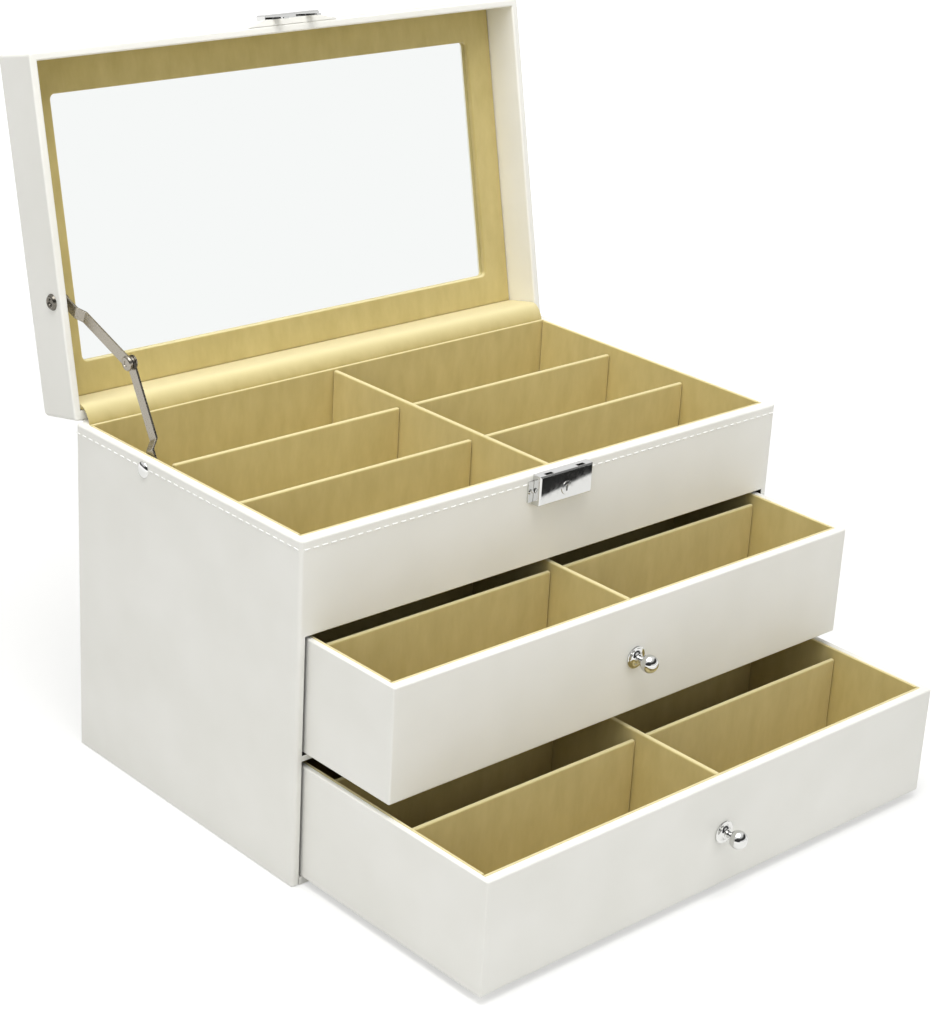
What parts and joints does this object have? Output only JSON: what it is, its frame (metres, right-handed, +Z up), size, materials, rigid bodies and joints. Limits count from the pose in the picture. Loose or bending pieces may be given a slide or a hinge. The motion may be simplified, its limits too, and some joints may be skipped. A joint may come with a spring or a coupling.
{
  "type": "eyewear storage box",
  "caption": "Lidded leatherette box with a mirror in the lid, a divided velvet tray, two pull-out divided drawers, a folding lid stay and a front key lock.",
  "frame": {"origin": "centre of the closed case's underside, on the face it stands on", "axes": "+X to the right seen from the front, +Y to the back, +Z up; drawers open towards -Y"},
  "size_m": [0.3416, 0.4107, 0.3847],
  "materials": {
    "white_leatherette": "smooth off-white leatherette stretched over boards",
    "gold_velvet": "short-pile gold velvet glued to boards",
    "chrome": "bright plated metal",
    "satin_steel": "satin nickel-plated steel strip",
    "mirror_glass": "silvered sheet glass"
  },
  "bodies": {
    "carcass": {"left_side": "white_leatherette", "right_side": "white_leatherette", "back_panel": "white_leatherette", "back_cover": "white_leatherette", "base_panel": "white_leatherette", "drawer_shelf": "white_leatherette", "tray_floor": "white_leatherette", "front_panel": "white_leatherette", "tray_lining": "gold_velvet", "tray_floor_lining": "gold_velvet", "tray_centre_divider": "gold_velvet", "tray_cross_dividers": "gold_velvet", "hinge_lining": "gold_velvet", "lock_back_plate": "chrome", "lock_case": "chrome", "lock_screws": "chrome", "body_stay_rivet": "chrome"},
    "lid": {"lid_top_panel": "white_leatherette", "lid_front_wall": "white_leatherette", "lid_back_wall": "white_leatherette", "lid_left_wall": "white_leatherette", "lid_right_wall": "white_leatherette", "lid_back_cover": "white_leatherette", "lid_back_lining": "gold_velvet", "mirror_frame": "gold_velvet", "mirror": "mirror_glass", "hasp_pad": "white_leatherette", "hasp": "chrome", "hasp_screws": "chrome", "lid_stay_rivet": "chrome"},
    "upper_drawer": {"upper_drawer_front": "white_leatherette", "upper_drawer_left_wall": "white_leatherette", "upper_drawer_right_wall": "white_leatherette", "upper_drawer_back_wall": "white_leatherette", "upper_drawer_floor": "white_leatherette", "upper_drawer_lining": "gold_velvet", "upper_drawer_floor_lining": "gold_velvet", "upper_drawer_centre_divider": "gold_velvet", "upper_drawer_cross_dividers": "gold_velvet", "upper_drawer_rosette": "chrome", "upper_drawer_knob": "chrome", "upper_drawer_knob_screw": "chrome"},
    "lower_drawer": {"lower_drawer_front": "white_leatherette", "lower_drawer_left_wall": "white_leatherette", "lower_drawer_right_wall": "white_leatherette", "lower_drawer_back_wall": "white_leatherette", "lower_drawer_floor": "white_leatherette", "lower_drawer_lining": "gold_velvet", "lower_drawer_floor_lining": "gold_velvet", "lower_drawer_centre_divider": "gold_velvet", "lower_drawer_cross_dividers": "gold_velvet", "lower_drawer_rosette": "chrome", "lower_drawer_knob": "chrome", "lower_drawer_knob_screw": "chrome"},
    "stay_lower": {"stay_lower_link": "satin_steel", "stay_lower_rivet": "satin_steel"},
    "stay_upper": {"stay_upper_link": "satin_steel", "stay_upper_rivet": "satin_steel"},
    "lock_cylinder": {"lock_cylinder": "chrome"},
    "lock_latch": {"lock_latch": "satin_steel"}
  },
  "joints": [
    {"name": "lid_hinge", "type": "hinge", "parent": "carcass", "child": "lid", "pos_m": [0, 0.096, 0.1905], "axis": [1, 0, 0], "range_deg": [0, 101.5]},
    {"name": "upper_drawer_slide", "type": "slide", "parent": "carcass", "child": "upper_drawer", "axis": [0, -1, 0], "range_m": [-0.064, 0.086]},
    {"name": "lower_drawer_slide", "type": "slide", "parent": "carcass", "child": "lower_drawer", "axis": [0, -1, 0], "range_m": [-0.134, 0.016]},
    {"name": "stay_lower_pivot", "type": "hinge", "parent": "carcass", "child": "stay_lower", "pos_m": [-0.1627, 0.034, 0.1837], "axis": [1, 0, 0], "range_deg": [0, 132.7]},
    {"name": "stay_upper_pivot", "type": "hinge", "parent": "lid", "child": "stay_upper", "pos_m": [-0.1627, 0.11697, 0.25093], "axis": [1, 0, 0], "range_deg": [-92.7, 0]},
    {"name": "lock_cylinder_turn", "type": "hinge", "parent": "carcass", "child": "lock_cylinder", "pos_m": [0, -0.1, 0.1803], "axis": [0, -1, 0], "range_deg": [0, 90]},
    {"name": "lock_latch_slide", "type": "slide", "parent": "carcass", "child": "lock_latch", "axis": [1, 0, 0], "range_m": [0, 0.00283]}
  ],
  "couplings": [
    {"joint": "stay_lower_pivot", "follows": "lid_hinge", "ratio": 1.3072},
    {"joint": "stay_upper_pivot", "follows": "lid_hinge", "ratio": -0.91258},
    {"joint": "lock_cylinder_turn", "follows": "lock_latch_slide", "rad_per_m": 555.36}
  ]
}
